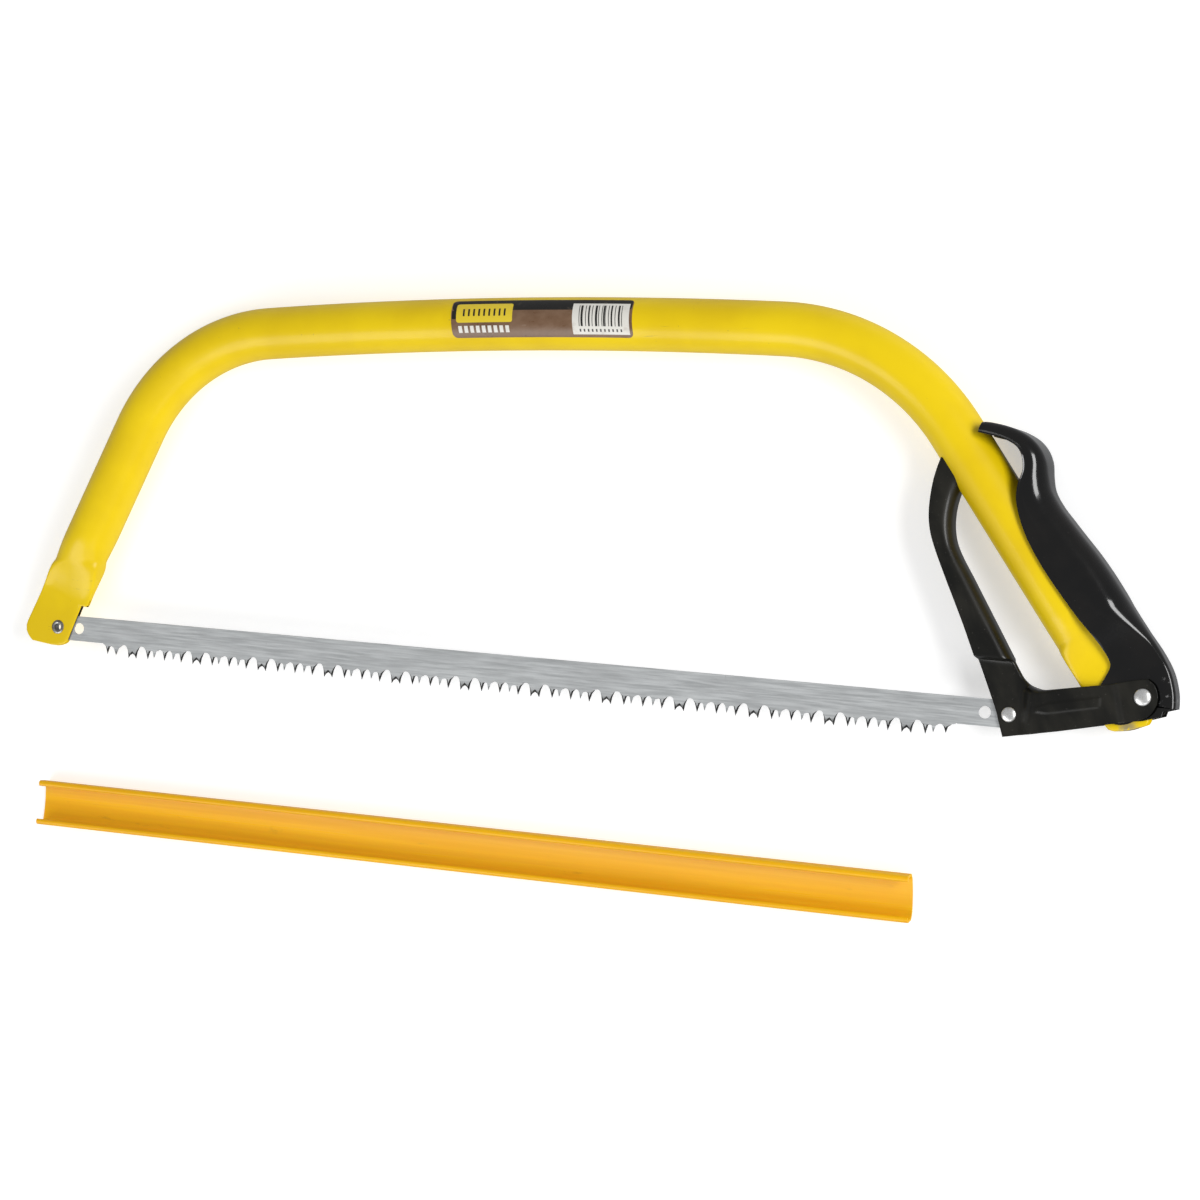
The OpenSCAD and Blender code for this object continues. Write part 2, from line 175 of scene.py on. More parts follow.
def blended(amount, a, b):
    """Colour a where amount is 0 and b where it is 1. Each is a colour or a socket."""
    mix = added(amount, "ShaderNodeMix")
    mix.data_type = "RGBA"
    join(amount, mix.inputs["Factor"])
    for socket, colour in ((mix.inputs[6], a), (mix.inputs[7], b)):
        if isinstance(colour, tuple):
            socket.default_value = (*colour, 1)
        else:
            join(colour, socket)
    return mix.outputs[2]


def bumped(shader, height, distance, strength=1.0):
    """Relief on the shader from a height of 0 to 1. distance is its depth in millimetres."""
    bump = added(height, "ShaderNodeBump")
    bump.inputs["Distance"].default_value = distance * MM
    bump.inputs["Strength"].default_value = strength
    join(height, bump.inputs["Height"])
    join(bump.outputs["Normal"], shader.inputs["Normal"])


def near(coords, centre, inner, outer):
    """1 within inner millimetres of a point of the saw, fading to 0 at outer."""
    distance = added(coords, "ShaderNodeVectorMath")
    distance.operation = "DISTANCE"
    join(coords, distance.inputs[0])
    distance.inputs[1].default_value = centre
    return stepped(distance.outputs["Value"], inner * MM, outer * MM, 1.0, 0.0)


table_mat, shader, coords = node_setup("table_top")
clouds = grain(coords, 3, 3)
table_colour = blended(clouds, (0.74, 0.74, 0.74), (0.78, 0.78, 0.78))
set_shader(shader, {
    "Base Color": table_colour, "Roughness": 0.9, "Emission Color": (1, 1, 1, 1), "Emission Strength": 0.45,
})

table_half, table_drop = 12.0, 0.0002
corner_signs = ((-1, -1), (1, -1), (1, 1), (-1, 1))
table_corners = [(x * table_half, y * table_half, -table_drop) for x, y in corner_signs]
table_mesh = bpy.data.meshes.new("table_top")
table_mesh.from_pydata(table_corners, [], [(0, 1, 2, 3)])
table_mesh.materials.append(table_mat)
table = linked("table_top", table_mesh)
# the paint and the steel mirror the dim room, and not the bright table
table.visible_glossy = False


def soft_box(name, place, target, width, height, power):
    """An area light at one point of the row frame, aimed at another. Sizes are in metres."""
    light = bpy.data.lights.new(name, "AREA")
    light.shape = "RECTANGLE"
    light.size, light.size_y = width, height
    light.energy = power
    lamp = linked(name, light)
    aim = (Vector(place) - Vector(target)).to_track_quat("Z", "Y").to_matrix().to_4x4()
    lamp.matrix_world = Matrix.Translation(place) @ aim


soft_box("heel_box", (1.9, 0.35, 1.55), (0.1, 0, 0), 1.5, 0.8, 42)
soft_box("toe_box", (-1.1, -1.45, 1.6), (-0.1, 0, 0), 1.6, 1.3, 22)
soft_box("front_box", (0.5, -2.1, 1.6), (0, 0, 0), 2.0, 0.9, 7)

room = bpy.data.worlds.new("room")
room.use_nodes = True
background = room.node_tree.nodes["Background"]
background.inputs["Color"].default_value = (0.97, 0.98, 1.0, 1)
background.inputs["Strength"].default_value = 0.32
bpy.context.scene.world = room
bpy.context.scene.view_settings.view_transform = "Standard"

# ---------------------------------------------------------------- frame tube
# The bow: one length of round steel tube, bent cold at the toe, the crown and the heel, with both
# ends pressed flat, slotted and drilled, and then powder coated in gloss yellow.
tube_r = 15.25
toe_slope = radians(67.4)
heel_slope = radians(53)
crown_slope = radians(6)
toe_leg, toe_bend_r, heel_bend_r = 134.0, 101.5, 130.0
leg_foot = Vector((-6.4, 0))
fulcrum = Vector((658, 13.5))
toe_flat, heel_flat = 2.2, 5.5
sheet_gap = 0.7

# along and out from each leg of the bow, on the saw's middle plane
toe_along = Vector((cos(toe_slope), sin(toe_slope)))
toe_out = Vector((sin(toe_slope), -cos(toe_slope)))
heel_along = Vector((-cos(heel_slope), sin(heel_slope)))
heel_out = Vector((sin(heel_slope), cos(heel_slope)))
toe_centre = leg_foot + toe_leg * toe_along + toe_bend_r * toe_out
crown_start = toe_centre + toe_bend_r * Vector((-sin(crown_slope), cos(crown_slope)))
crown_rise = crown_start.y - heel_bend_r * (1 - cos(heel_slope)) - fulcrum.y
crown_run = fulcrum.x - crown_start.x - heel_bend_r * sin(heel_slope)
heel_cot = 1 / tan(heel_slope)
crown_drop = 1 - cos(crown_slope)
crown_r = (crown_run - heel_cot * crown_rise) / (sin(crown_slope) + heel_cot * crown_drop)
crown_centre = crown_start + crown_r * Vector((sin(crown_slope), -cos(crown_slope)))
heel_centre = crown_centre + Vector((0, crown_r - heel_bend_r))


def lerp(a, b, k):
    """The value a share k of the way from a to b."""
    return a + (b - a) * k


def eased(k):
    """k held within 0 to 1, with a soft start and end."""
    k = min(max(k, 0.0), 1.0)
    return k * k * (3 - 2 * k)


def looked_up(table, y):
    """The value at y in a table of (y, value) rows, along straight lines."""
    if y <= table[0][0]:
        return table[0][1]
    for (y0, v0), (y1, v1) in zip(table, table[1:]):
        if y <= y1:
            return lerp(v0, v1, (y - y0) / (y1 - y0))
    return table[-1][1]


# back and front edge of the toe flat for a height up the leg, and the same for the heel flat
toe_back = [(-12.9, -6.5), (-12.4, -8.6), (-11.2, -11.2), (-9.4, -13.5), (-6.4, -15.1), (-3.5, -15.4),
            (27, -15.2)]
toe_front = [(-12.9, -6.1), (-9.6, 6), (-8.2, 10), (-5.8, 13.4), (-3.6, 15), (-1.5, 15.4), (14, 14.6),
             (21.1, 14.3), (21.8, 17.4), (23.0, 17.8), (27, 17.8)]
heel_back = [(-18.2, 3.4), (-16.6, -3.6), (-15.1, -7.6), (-12.2, -12.6), (-9.8, -14.8), (-6.5, -15.2),
             (27, -15.2)]
heel_front = [(-18.2, 4.2), (-17.6, 6), (-15.4, 8), (-9.4, 12.4), (-2, 15), (4, 15.2), (27, 15.2)]
# the ring's outline is a superellipse: almost a box at the flat and a circle above
flat_power, round_power = 9.0, 2.0


def end_ring(foot, along, out, height, back_edge, front_edge, flat, slant, squash_from, squash_to, n):
    """One ring near an end of the tube: flat below a slanted crease and round above it."""
    k_mid = eased((height - squash_from) / (squash_to - squash_from))
    back = lerp(looked_up(back_edge, height), -tube_r, k_mid)
    front = lerp(looked_up(front_edge, height), tube_r, k_mid)
    ring = []
    for i in range(n):
        a = 2 * pi * i / n
        c, s = cos(a), sin(a)
        across_at = lerp(back, front, 0.5 + 0.5 * c)
        k = eased((height - squash_from - slant * across_at) / (squash_to - squash_from))
        power = lerp(flat_power, round_power, min(1.0, 1.6 * k))
        x = (back + front) / 2 + (front - back) / 2 * copysign(abs(c) ** (2 / power), c)
        z = lerp(flat, tube_r, k) * copysign(abs(s) ** (2 / power), s)
        p = foot + along * height + out * x
        ring.append(at(p.x, p.y, z))
    return ring


def bend_ring(centre, radius, heading, n):
    """One ring of the round tube on an arc of the bow."""
    ring = []
    for i in range(n):
        a = 2 * pi * i / n
        r = radius - tube_r * cos(a)
        x, y = centre.x - r * sin(heading), centre.y + r * cos(heading)
        ring.append(at(x, y, tube_r * sin(a)))
    return ring


def grid_faces(rows, columns, closed=False):
    """Four-sided faces between rows of points that are numbered one row after another."""
    faces = []
    for j in range(rows - 1):
        for i in range(columns if closed else columns - 1):
            a, b = j * columns + i, j * columns + (i + 1) % columns
            faces.append((a, b, b + columns, a + columns))
    return faces


def face_out(mesh, merge=0.0, open_sheet=False):
    """Joins points closer than merge and turns the faces outwards, or an open sheet's top up."""
    bm = bmesh.new()
    bm.from_mesh(mesh)
    if merge:
        bmesh.ops.remove_doubles(bm, verts=bm.verts, dist=merge)
    bmesh.ops.recalc_face_normals(bm, faces=bm.faces)
    if open_sheet:
        top = max(bm.faces, key=lambda face: face.calc_center_median().z)
        if top.normal.z < 0:
            bmesh.ops.reverse_faces(bm, faces=bm.faces)
    bm.to_mesh(mesh)
    bm.free()


def meshed(name, verts, faces, merge=0.0, open_sheet=False):
    """A new object from points and faces, turned as face_out does."""
    mesh = bpy.data.meshes.new(name)
    mesh.from_pydata(verts, [], faces)
    face_out(mesh, merge, open_sheet)
    return linked(name, mesh)


def lofted(name, rings, closed=True, capped=True):
    """A mesh piece through rows of points, with its faces turned outwards."""
    columns = len(rings[0])
    faces = grid_faces(len(rings), columns, closed)
    if closed and capped:
        last = (len(rings) - 1) * columns
        faces += [tuple(range(columns - 1, -1, -1)), tuple(range(last, last + columns))]
    return meshed(name, [p for ring in rings for p in ring], faces, 1e-7)


def settled(piece, crease=35):
    """The piece with its modifiers made plain mesh, smooth but for edges sharper than crease degrees."""
    bpy.context.view_layer.update()
    shaped = piece.evaluated_get(bpy.context.evaluated_depsgraph_get())
    mesh = bpy.data.meshes.new_from_object(shaped)
    piece.modifiers.clear()
    piece.data = mesh
    mesh.name = piece.name
    mesh.shade_smooth()
    mesh.set_sharp_from_angle(angle=radians(crease))
    return piece


def slot_cutter(name, foot, along, out, low, high, half):
    """A block for cutting a slot: low and high are its corners across and up the leg."""
    corners = []
    for z in (-half, half):
        for u, v in ((low[0], low[1]), (high[0], low[1]), (high[0], high[1]), (low[0], high[1])):
            p = foot + along * v + out * u
            corners.append(at(p.x, p.y, z))
    return lofted(name, [corners[:4], corners[4:]])


def circle_points(x, y, r, n=40):
    """Points round a circle on the saw's middle plane."""
    turns = [2 * pi * i / n for i in range(n)]
    return [(x + r * cos(a), y + r * sin(a)) for a in turns]


def turned(outline, centre, sign=1, n=48):
    """Rings of a lathe piece about an axis square to the saw: outline rows are (radius, height)."""
    return [[at(x, y, sign * h) for x, y in circle_points(centre.x, centre.y, r, n)] for r, h in outline]


def drill(name, centre, radius, half):
    """A round cutter square to the saw's middle plane."""
    return lofted(name, turned([(radius, -half), (radius, half)], centre, n=40))


def cut_away(piece, cutters):
    """Takes the cutters out of the piece and removes them."""
    for cutter in cutters:
        cut = piece.modifiers.new("cut", "BOOLEAN")
        cut.operation = "DIFFERENCE"
        cut.solver = "EXACT"
        cut.object = cutter
    settled(piece)
    for cutter in cutters:
        bpy.data.objects.remove(cutter)


ring_points = 56
# how far each crease slants over the tube, and the heights between which the flat turns round
toe_slant, toe_squash = 0.42, (20, 62)
heel_slant, heel_squash = 0.0, (20, 56)
toe_heights = [-12.9, -12.7, -12.3, -11.8, -11.2, -10.4, -9.4, -8, -6.5, -5, -3.5, -1.5, 4, 10, 16,
               21.1, 21.8, 23]
toe_heights += [24 + 1.6 * i for i in range(40)] + [toe_leg * 0.72, toe_leg * 0.86]
heel_heights = [-18.2, -17.8, -17.2, -16.4, -15.4, -14, -12.4, -11, -9.6, -8, -6, -3, 1, 6, 12, 18]
heel_heights += [20 + 1.6 * i for i in range(32)]
heel_leg = (heel_centre.y + heel_bend_r * cos(heel_slope) - fulcrum.y) / sin(heel_slope)
heel_heights += [lerp(72, heel_leg, i / 6) for i in range(6)]

tube_rings = [
    end_ring(leg_foot, toe_along, toe_out, h, toe_back, toe_front, toe_flat, toe_slant, *toe_squash,
             ring_points)
    for h in toe_heights
]
# each bend: centre, radius, first and last heading, steps and the first step drawn
for centre, radius, start, end, steps, first in (
    (toe_centre, toe_bend_r, toe_slope, crown_slope, 36, 0),
    (crown_centre, crown_r, crown_slope, 0, 24, 1),
    (heel_centre, heel_bend_r, 0, -heel_slope, 32, 1),
):
    for i in range(first, steps + 1):
        tube_rings.append(bend_ring(centre, radius, lerp(start, end, i / steps), ring_points))
# the heel is drawn the other way round, so its edges swap places
heel_edges = [[(y, -v) for y, v in edge] for edge in (heel_front, heel_back)]
heel_rings = [
    end_ring(fulcrum, heel_along, -heel_out, h, *heel_edges, heel_flat, heel_slant, *heel_squash, ring_points)
    for h in heel_heights
]
tube = lofted("bow_tube", tube_rings + heel_rings[::-1])
cut_away(tube, [
    slot_cutter("toe_slot", leg_foot, toe_along, toe_out, (-13.6, -20), (40, 26.5), sheet_gap),
    slot_cutter("heel_slot", fulcrum, heel_along, heel_out, (-13.6, -30), (13.6, 22.5), heel_flat - 1.5),
    drill("toe_drill", Vector((0, 0)), 3.4, 9),
    drill("heel_drill", fulcrum, 4.0, 20),
])

yellow_mat, shader, coords = node_setup("yellow_powder_coat")
mottle = grain(coords, 14, 4)
yellow = blended(stepped(mottle, 0.35, 0.65), (0.87, 0.625, 0.003), (0.78, 0.54, 0.002))
scratch_lines = grain(coords, (18, 420, 420), 5, 0.7, turn=3)
crown_wear = near(coords, at(410, 205, 15), 20, 75)
toe_wear = near(coords, at(0, 5, 0), 18, 60)
wear_zone = combined(crown_wear, toe_wear, "MAXIMUM")
scratches = combined(stepped(scratch_lines, 0.66, 0.72), wear_zone)
scuffed = blended(combined(scratches, 0.7), yellow, (0.22, 0.16, 0.03))
specks = stepped(grain(coords, 330, 3, 0.6), 0.73, 0.77)
dirty = blended(combined(specks, 0.55), scuffed, (0.30, 0.21, 0.04))
end_wear = near(coords, at(663, -2.2, 0), 3.5, 9)
worn_edge = combined(end_wear, stepped(grain(coords, 420, 3), 0.36, 0.5))
shown = blended(worn_edge, dirty, (0.36, 0.35, 0.33))
# painted shade: the saw cut for the blade and a thin band of the flats beside it are painted near black for
# the shadow inside the slot; the cut faces are also bare steel
height, middle = axis_of(coords, "Z"), at(0, 0).z
above = stepped(height, middle - 1.35 * MM, middle - 1.2 * MM)
below = stepped(height, middle + 1.2 * MM, middle + 1.35 * MM, 1.0, 0.0)
around_cut = near(coords, at(11.5, 4), 11.5, 13)
slot_shade_mask = combined(combined(above, below), around_cut)
shown = blended(slot_shade_mask, shown, (0.025, 0.020, 0.012))
set_shader(shader, {
    "Base Color": shown, "Metallic": worn_edge, "Roughness": stepped(mottle, 0.3, 0.7, 0.30, 0.40),
    "Specular IOR Level": 0.28, "Coat Weight": 0.12, "Coat Roughness": 0.16,
})
peel = grain(coords, 900, 2)
bumped(shader, peel, 0.02, 0.35)
painted(tube, yellow_mat)
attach(tube, "frame")
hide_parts("frame_tube")

# ---------------------------------------------------------------- toe pin
# A hollow steel pin through the flattened toe, with its two ends rolled over the flats. Zinc plated
# and dulled. The blade's toe hole hangs on it.
pin_r, bore_r, lip = 3.38, 2.1, 4.15
pin_half = [(bore_r, toe_flat - 0.1), (bore_r + 0.15, toe_flat + 0.4), (bore_r + 0.7, toe_flat + 0.6),
            (lip - 0.3, toe_flat + 0.5), (lip, toe_flat + 0.25), (lip - 0.2, toe_flat + 0.02),
            (pin_r, toe_flat)]
pin_rings = turned([(r, -h) for r, h in pin_half[::-1]] + pin_half, Vector((0, 0)))
toe_sleeve = lofted("toe_pin_sleeve", pin_rings + pin_rings[:1], capped=False)
settled(toe_sleeve, 50)

zinc_mat, shader, coords = node_setup("dull_zinc")
tarnish = grain(coords, 260, 5)
zinc = blended(stepped(tarnish, 0.35, 0.7), (0.50, 0.50, 0.48), (0.20, 0.17, 0.13))
tarnish_rough = stepped(tarnish, 0.3, 0.7, 0.24, 0.5)
set_shader(shader, {"Base Color": zinc, "Metallic": 1.0, "Roughness": tarnish_rough})
bumped(shader, grain(coords, 1500, 2), 0.02, 0.5)
toe_sleeve.data.materials.append(zinc_mat)
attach(toe_sleeve, "frame")
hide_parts("toe_pin")

# the lever's fulcrum pin is a plain turned pin of the same plated steel, hidden under the guard
painted(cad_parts["lever_fulcrum_pin"], zinc_mat)

# ---------------------------------------------------------------- saw blade
# A strip of hardened spring steel with two holes at each end. Groups of four ground cutting teeth
# stand between forked raker teeth, with deep gullets beside each raker.
heel_low, heel_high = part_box("heel_rivet")
pin_span = ((heel_low + heel_high).x / 2 - toe_middle.x) / MM
blade_half, blade_t = 7.6, 0.7
strip_foot = -7.0
tooth_tip, raker_pitch, first_raker = 15.1, 44.34, 52.3
tooth_crease = 12
gullet = -blade_half - 0.4
tooth_root = -blade_half - 2.2


def ground(x, left, right, tip, near_side, root=tooth_root):
    """One cutting tooth: root, tip, root, each with its places on the near and the far face."""
    flat = [(x + left, root), (x, tip), (x + right, root)]
    cut = [(x + left + 0.85, root + 0.1), (x + 0.05, tip + 3.0), (x + right - 0.85, root + 0.1)]
    burr = [(x + left, root), (x - 0.35, tip + 0.9), (x + right - 0.55, root)]
    return list(zip(cut, flat)) if near_side else list(zip(burr, cut))


def same(*points):
    """Edge points that lie alike on the near and the far face."""
    return [(p, p) for p in points]


def raker(x):
    """A forked raker: two points, ground from the near side into a cross."""
    def fork(half, fork_root):
        points = [(-u, v) for u, v in half] + [(0, fork_root)] + half[::-1]
        return [(x + u, v - tooth_tip) for u, v in points]

    flat = fork([(3.4, 4.4), (2.7, 0), (1.5, 2.0)], 3.0)
    cut = fork([(2.9, 4.9), (1.95, 2.0), (1.05, 3.6)], 4.5)
    return list(zip(cut, flat))


def tooth_group(x):
    """From one raker to the next: (near face point, far face point) along the lower edge."""
    t, g, q = -tooth_tip, gullet, tooth_root
    run = same((x + 4.5, g + 0.1), (x + 5.3, g + 0.55), (x + 6.4, g + 0.6), (x + 7.5, g + 0.3))
    run += ground(x + 10.7, -1.7, 1.4, t + 0.2, True, q + 0.1) + same((x + 13.1, q + 0.5))
    run += ground(x + 15.6, -1.5, 1.4, t + 0.5, False)
    run += same((x + 18, q + 1.2), (x + 18.9, q + 1.5), (x + 19.8, q + 1.2))
    run += ground(x + 22.2, -1.4, 1.4, t + 0.3, True)
    run += same((x + 24.6, q + 1.2), (x + 25.5, q + 1.5), (x + 26.4, q + 1.2))
    run += ground(x + 28.8, -1.4, 1.5, t + 0.5, False) + same((x + 31.3, q + 0.5))
    run += ground(x + 33.7, -1.4, 1.7, t + 0.2, True, q + 0.1)
    return run + same((x + 36.9, g + 0.3), (x + 38, g + 0.6), (x + 39.1, g + 0.55), (x + 39.9, g + 0.1))


def edge_piece(name, run, start, end):
    """The toothed edge below the strip, from start to end, with its ground facets marked."""
    run = [((start, strip_foot),) * 2] + run + [((end, strip_foot),) * 2]
    h = blade_t / 2
    n = len(run)
    verts = [Vector((*p, h)) * MM for p, _ in run] + [Vector((*q, -h)) * MM for _, q in run]
    faces = [tuple(range(n)), tuple(range(2 * n - 1, n - 1, -1))]
    faces += [((i + 1) % n, i, n + i, n + (i + 1) % n) for i in range(n)]
    mesh = bpy.data.meshes.new(name)
    mesh.from_pydata(verts, [], faces)
    mesh.materials.append(steel_mat)
    mesh.materials.append(facet_mat)
    for poly in mesh.polygons[2:]:
        beside = (run[poly.index - 2], run[(poly.index - 1) % n])
        poly.material_index = int(any(near_face != far_face for near_face, far_face in beside))
    facet = mesh.attributes.new("facet", "BOOLEAN", "FACE")
    facet.data.foreach_set("value", [poly.material_index == 1 for poly in mesh.polygons])
    face_out(mesh)
    return linked(name, mesh)


steel_mat, shader, coords = node_setup("blade_steel")
rolled = grain(coords, (40, 900, 900), 6, 0.65)
cloudy = grain(coords, (22, 60, 60), 4)
steel = blended(stepped(rolled, 0.3, 0.7), (0.55, 0.57, 0.572), (0.73, 0.75, 0.752))
steel = blended(stepped(cloudy, 0.35, 0.75, 0, 0.45), steel, (0.46, 0.47, 0.475))
spots = stepped(grain(coords, 190, 4, 0.7), 0.70, 0.76)
steel = blended(combined(spots, 0.5), steel, (0.20, 0.17, 0.14))
# the hardened teeth are darker towards their tips
tips = stepped(axis_of(coords, "Y"), at(0, -13.5).y, at(0, -10.2).y, 0.8, 0.0)
steel = blended(tips, steel, (0.035, 0.034, 0.032))
rolled_rough = stepped(rolled, 0.3, 0.7, 0.36, 0.52)
set_shader(shader, {"Base Color": steel, "Metallic": 0.72, "Roughness": rolled_rough})
bumped(shader, rolled, 0.02, 0.4)

facet_mat, shader, coords = node_setup("hardened_facet")
tint = grain(coords, 420, 4)
facet = blended(stepped(tint, 0.3, 0.7), (0.006, 0.006, 0.007), (0.04, 0.04, 0.038))
tint_rough = stepped(tint, 0.3, 0.7, 0.3, 0.5)
set_shader(shader, {"Base Color": facet, "Specular IOR Level": 0.25, "Roughness": tint_rough})
bumped(shader, grain(coords, (2600, 300, 300), 2, turn=20), 0.02, 0.5)

group = edge_piece("tooth_group", raker(0)[3:] + tooth_group(0) + raker(raker_pitch)[:4], 0, raker_pitch)


def repeated(name, part, count, pitch, start, finish, facet_finish=None):
    """Geometry Nodes that set copies of a part along X; the result is a plain mesh."""
    vector, material = "NodeSocketVector", "NodeSocketMaterial"
    sizes = (("Count", "NodeSocketInt", count), ("Pitch", vector, pitch), ("Start", vector, start),
             ("Part", "NodeSocketObject", part), ("Finish", material, finish),
             ("Facet Finish", material, facet_finish or finish))
    tree = bpy.data.node_groups.new(name, "GeometryNodeTree")
    tree.interface.new_socket("Geometry", in_out="OUTPUT", socket_type="NodeSocketGeometry")
    inputs = {}
    for label, kind, _ in sizes:
        inputs[label] = tree.interface.new_socket(label, in_out="INPUT", socket_type=kind)
    given = tree.nodes.new("NodeGroupInput").outputs
    group_out = tree.nodes.new("NodeGroupOutput")
    line = tree.nodes.new("GeometryNodeMeshLine")
    info = tree.nodes.new("GeometryNodeObjectInfo")
    instance = tree.nodes.new("GeometryNodeInstanceOnPoints")
    realize = tree.nodes.new("GeometryNodeRealizeInstances")
    facets = tree.nodes.new("GeometryNodeInputNamedAttribute")
    facets.data_type = "BOOLEAN"
    facets.inputs["Name"].default_value = "facet"
    coated = tree.nodes.new("GeometryNodeSetMaterial")
    facet_coated = tree.nodes.new("GeometryNodeSetMaterial")
    for a, b in (
        (given["Count"], line.inputs["Count"]),
        (given["Start"], line.inputs["Start Location"]),
        (given["Pitch"], line.inputs["Offset"]),
        (given["Part"], info.inputs["Object"]),
        (line.outputs["Mesh"], instance.inputs["Points"]),
        (info.outputs["Geometry"], instance.inputs["Instance"]),
        (instance.outputs["Instances"], realize.inputs["Geometry"]),
        (realize.outputs["Geometry"], coated.inputs["Geometry"]),
        (given["Finish"], coated.inputs["Material"]),
        (coated.outputs["Geometry"], facet_coated.inputs["Geometry"]),
        (facets.outputs["Attribute"], facet_coated.inputs["Selection"]),
        (given["Facet Finish"], facet_coated.inputs["Material"]),
        (facet_coated.outputs["Geometry"], group_out.inputs[0]),
    ):
        tree.links.new(a, b)
    carrier = linked(name, bpy.data.meshes.new(name))
    maker = carrier.modifiers.new("repeat", "NODES")
    maker.node_group = tree
    for label, _, value in sizes:
        maker[inputs[label].identifier] = value
    return settled(carrier, tooth_crease)


groups = 11
last_raker = first_raker + groups * raker_pitch
teeth = repeated("teeth", group, groups, (raker_pitch * MM, 0, 0), at(first_raker, 0), steel_mat, facet_mat)
bpy.data.objects.remove(group)

# the shorter runs of teeth before the first raker and after the last one
t, q = -tooth_tip, tooth_root
teeth_start, tail_end = 31.5, last_raker + 28
lead = same((teeth_start, strip_foot - 0.7)) + ground(34.9, -1.6, 1.3, t + 1.2, True, q + 0.6)
lead += same((37.6, q + 1.1)) + ground(41.6, -2.4, 1.7, t + 0.2, False, q)
lead += same((44.6, gullet + 0.1), (46, gullet + 0.6), (47.4, gullet + 0.2)) + raker(first_raker)[:4]
lead_edge = edge_piece("lead_edge", lead, teeth_start, first_raker)
tail = raker(0)[3:] + same((4.5, gullet + 0.1), (5.6, gullet + 0.6), (7.2, gullet + 0.3))
tail += ground(10.7, -1.7, 1.4, t + 0.2, True, q + 0.1) + same((13.1, q + 0.5))
tail += ground(15.6, -1.5, 1.4, t + 0.5, False) + same((18.2, q + 1.3), (19.6, q + 1.2))
tail += ground(22.2, -1.4, 1.0, t + 1.8, True) + same((25.4, q + 1.6), (27.2, strip_foot - 0.8))
tail = [tuple((x + last_raker, y) for x, y in places) for places in tail]
tail_edge = edge_piece("tail_edge", tail, last_raker, tail_end)
for edge in (lead_edge, tail_edge):
    edge.data.transform(Matrix.Translation(at(0, 0)))
    settled(edge, tooth_crease)

blade_curve = bpy.data.curves.new("blade_strip", "CURVE")
blade_curve.dimensions = "2D"
blade_curve.fill_mode = "BOTH"
blade_bevel = 0.06
blade_curve.extrude = (blade_t / 2 - blade_bevel) * MM
blade_curve.bevel_depth = blade_bevel * MM
blade_curve.bevel_resolution = 1


def spline_of(curve, points):
    """Adds one closed outline to the curve."""
    spline = curve.splines.new("POLY")
    spline.points.add(len(points) - 1)
    for point, (x, y) in zip(spline.points, points):
        point.co = (x * MM, y * MM, 0, 1)
    spline.use_cyclic_u = True


strip = [(-6.5, 6.1), (-6.5, -6.1), (-5.1, -7.5), (31.2, -7.5), (teeth_start, strip_foot),
         (tail_end, strip_foot), (tail_end + 0.3, -7.5), (pin_span + 5.1, -7.5), (pin_span + 6.5, -6.1),
         (pin_span + 6.5, 6.1), (pin_span + 5.1, 7.5), (-5.1, 7.5)]
spline_of(blade_curve, strip)
hole_r, heel_hole_r, spare_hole = 3.5, 5.5, 13.8
holes = ((0, hole_r), (spare_hole, hole_r), (pin_span - spare_hole, hole_r), (pin_span, heel_hole_r))
for hole_x, radius in holes:
    spline_of(blade_curve, circle_points(hole_x, 0, radius - blade_bevel))
blade_shape = linked("blade_curve", blade_curve)
bpy.context.view_layer.update()
strip_mesh = bpy.data.meshes.new_from_object(blade_shape.evaluated_get(bpy.context.evaluated_depsgraph_get()))
bpy.data.objects.remove(blade_shape)
strip_mesh.transform(Matrix.Translation(at(0, 0)))
blade_strip = linked("blade_strip", strip_mesh)
painted(blade_strip, steel_mat)
for part in (blade_strip, teeth, lead_edge, tail_edge):
    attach(part, "blade")
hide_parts("saw_blade")

# ---------------------------------------------------------------- tension lever
# One pressing of sheet steel, folded into a trough that wraps the back of the handle: two dished
# cheeks, a rounded back and a hook over the bow. Gloss black paint.


def smooth_lines(pairs, steps, corners=()):
    """Matched points along two edges, rounded between the given ones and straight into the corners."""
    def tangent(k, i, side):
        before = pairs[max(i - 1, 0)][k]
        after = pairs[min(i + 1, len(pairs) - 1)][k]
        here = pairs[i][k]
        if i in corners:
            return after - here if side > 0 else here - before
        return (after - before) / 2

    out = []
    for i in range(len(pairs) - 1):
        for s in range(steps):
            u = s / steps
            point = []
            for k in (0, 1):
                p, p2 = pairs[i][k], pairs[i + 1][k]
                m, m2 = tangent(k, i, 1), tangent(k, i + 1, -1)
                point.append((2 * u**3 - 3 * u**2 + 1) * p + (u**3 - 2 * u**2 + u) * m
                             + (3 * u**2 - 2 * u**3) * p2 + (u**3 - u**2) * m2)
            out.append(tuple(point))
    out.append(tuple(pairs[-1][:2]))
    return out


def fold_row(outer, inner, depth, radius, flats, arcs, reach=0.48):
    """Points of one half of a folded trough, from the free edge to the middle of its back: (x, y, z)."""
    run = outer - inner
    length = run.length
    way = run / length
    radius = min(radius, reach * length, depth(outer.x, outer.y) - 0.5)
    row = []
    for i in range(flats):
        share = i / flats
        p = inner + way * (length - radius) * share
        row.append(Vector((p.x, p.y, depth(p.x, p.y, share))))
    for i in range(arcs + 1):
        a = pi / 2 * i / arcs
        p = outer - way * radius * (1 - sin(a))
        row.append(Vector((p.x, p.y, depth(p.x, p.y, 1.0) - radius * (1 - cos(a)))))
    return row


def as_points(pairs):
    """Rows of (outer, inner) places as vectors."""
    return [(Vector(a), Vector(b)) for a, b in pairs]


